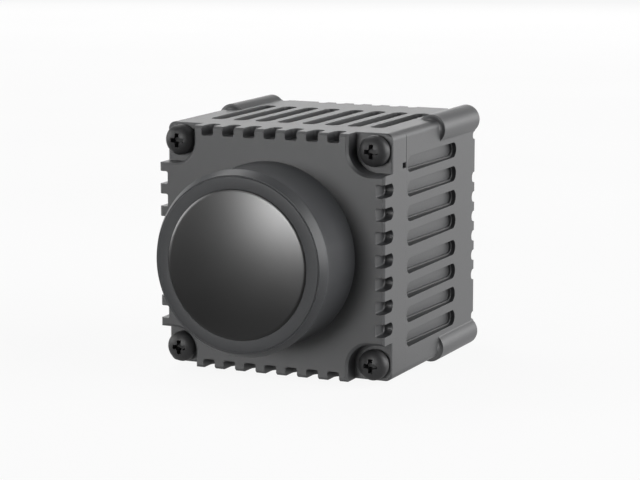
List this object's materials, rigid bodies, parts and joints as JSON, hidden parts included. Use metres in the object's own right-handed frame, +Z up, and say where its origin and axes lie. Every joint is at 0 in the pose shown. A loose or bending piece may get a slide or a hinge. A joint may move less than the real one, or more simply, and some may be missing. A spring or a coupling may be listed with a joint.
{
  "type": "automotive thermal camera",
  "caption": "Square metal-cased thermal camera with a short round barrel, a dark germanium window, slotted sides, screwed corners, an inner calibration shutter and a round rear connector.",
  "frame": {"origin": "under the middle of the camera, level with the underside of the lower rear bosses", "axes": "+Z up, lens looking along -Y, connector pointing along +Y, +X to the right as seen from in front of the lens"},
  "size_m": [0.0468, 0.0702, 0.0468],
  "materials": {
    "case": "fine matt black powder coat",
    "barrel": "satin black anodising",
    "cell": "matt black anodising",
    "window": "polished germanium with a dark hard coating",
    "lens": "polished germanium with an anti-reflection coating",
    "screws": "black oxide steel, satin",
    "rubber": "matt black silicone rubber",
    "steel": "stainless steel, turned",
    "plated": "bright nickel plate",
    "contacts": "gold plated",
    "insulator": "black moulded plastic",
    "board": "green solder mask over glass-epoxy",
    "chips": "black moulded epoxy",
    "ceramic": "grey ceramic package",
    "detector_glass": "coated silicon",
    "pad": "soft grey-blue heat-conducting pad",
    "holder": "black anodised aluminium",
    "spreader": "bare machined aluminium",
    "blade": "thin sheet with a matt black coating"
  },
  "bodies": {
    "camera": {"front_cover": "case", "main_housing": "case", "rear_cover": "case", "lens_barrel": "barrel", "window_ring": "barrel", "lens_cell": "cell", "lens_lock_ring": "cell", "lens_spacer": "cell", "rear_lock_ring": "cell", "window": "window", "objective_lens": "lens", "rear_lens": "lens", "field_lens": "lens", "front_screws": "screws", "front_washers": "screws", "rear_screws": "screws", "barrel_seal": "rubber", "window_seal": "rubber", "front_gasket": "rubber", "rear_gasket": "rubber", "connector_seal": "rubber", "shutter_motor": "steel", "sensor_holder": "holder", "detector_package": "ceramic", "detector_window": "detector_glass", "detector_board": "board", "processor_board": "board", "interface_board": "board", "front_spacers": "contacts", "rear_spacers": "contacts", "board_screws": "steel", "front_board_link": "insulator", "rear_board_link": "insulator", "interface_socket": "insulator", "memory_chips": "chips", "processor_chip": "chips", "power_inductors": "chips", "thermal_pad": "pad", "heat_spreader": "spreader", "connector_shell": "plated", "connector_nut": "plated", "connector_insert": "insulator", "connector_pins": "contacts"},
    "shutter": {"shutter_blade": "blade", "shutter_shaft": "steel"}
  },
  "joints": [
    {"name": "shutter_swing", "type": "hinge", "parent": "camera", "child": "shutter", "pos_m": [0.014, -0.01257, 0.0174], "axis": [0, 1, 0], "range_deg": [0, 43], "stiffness_Nm_per_rad": 0.0002, "springref_deg": -14.9}
  ]
}
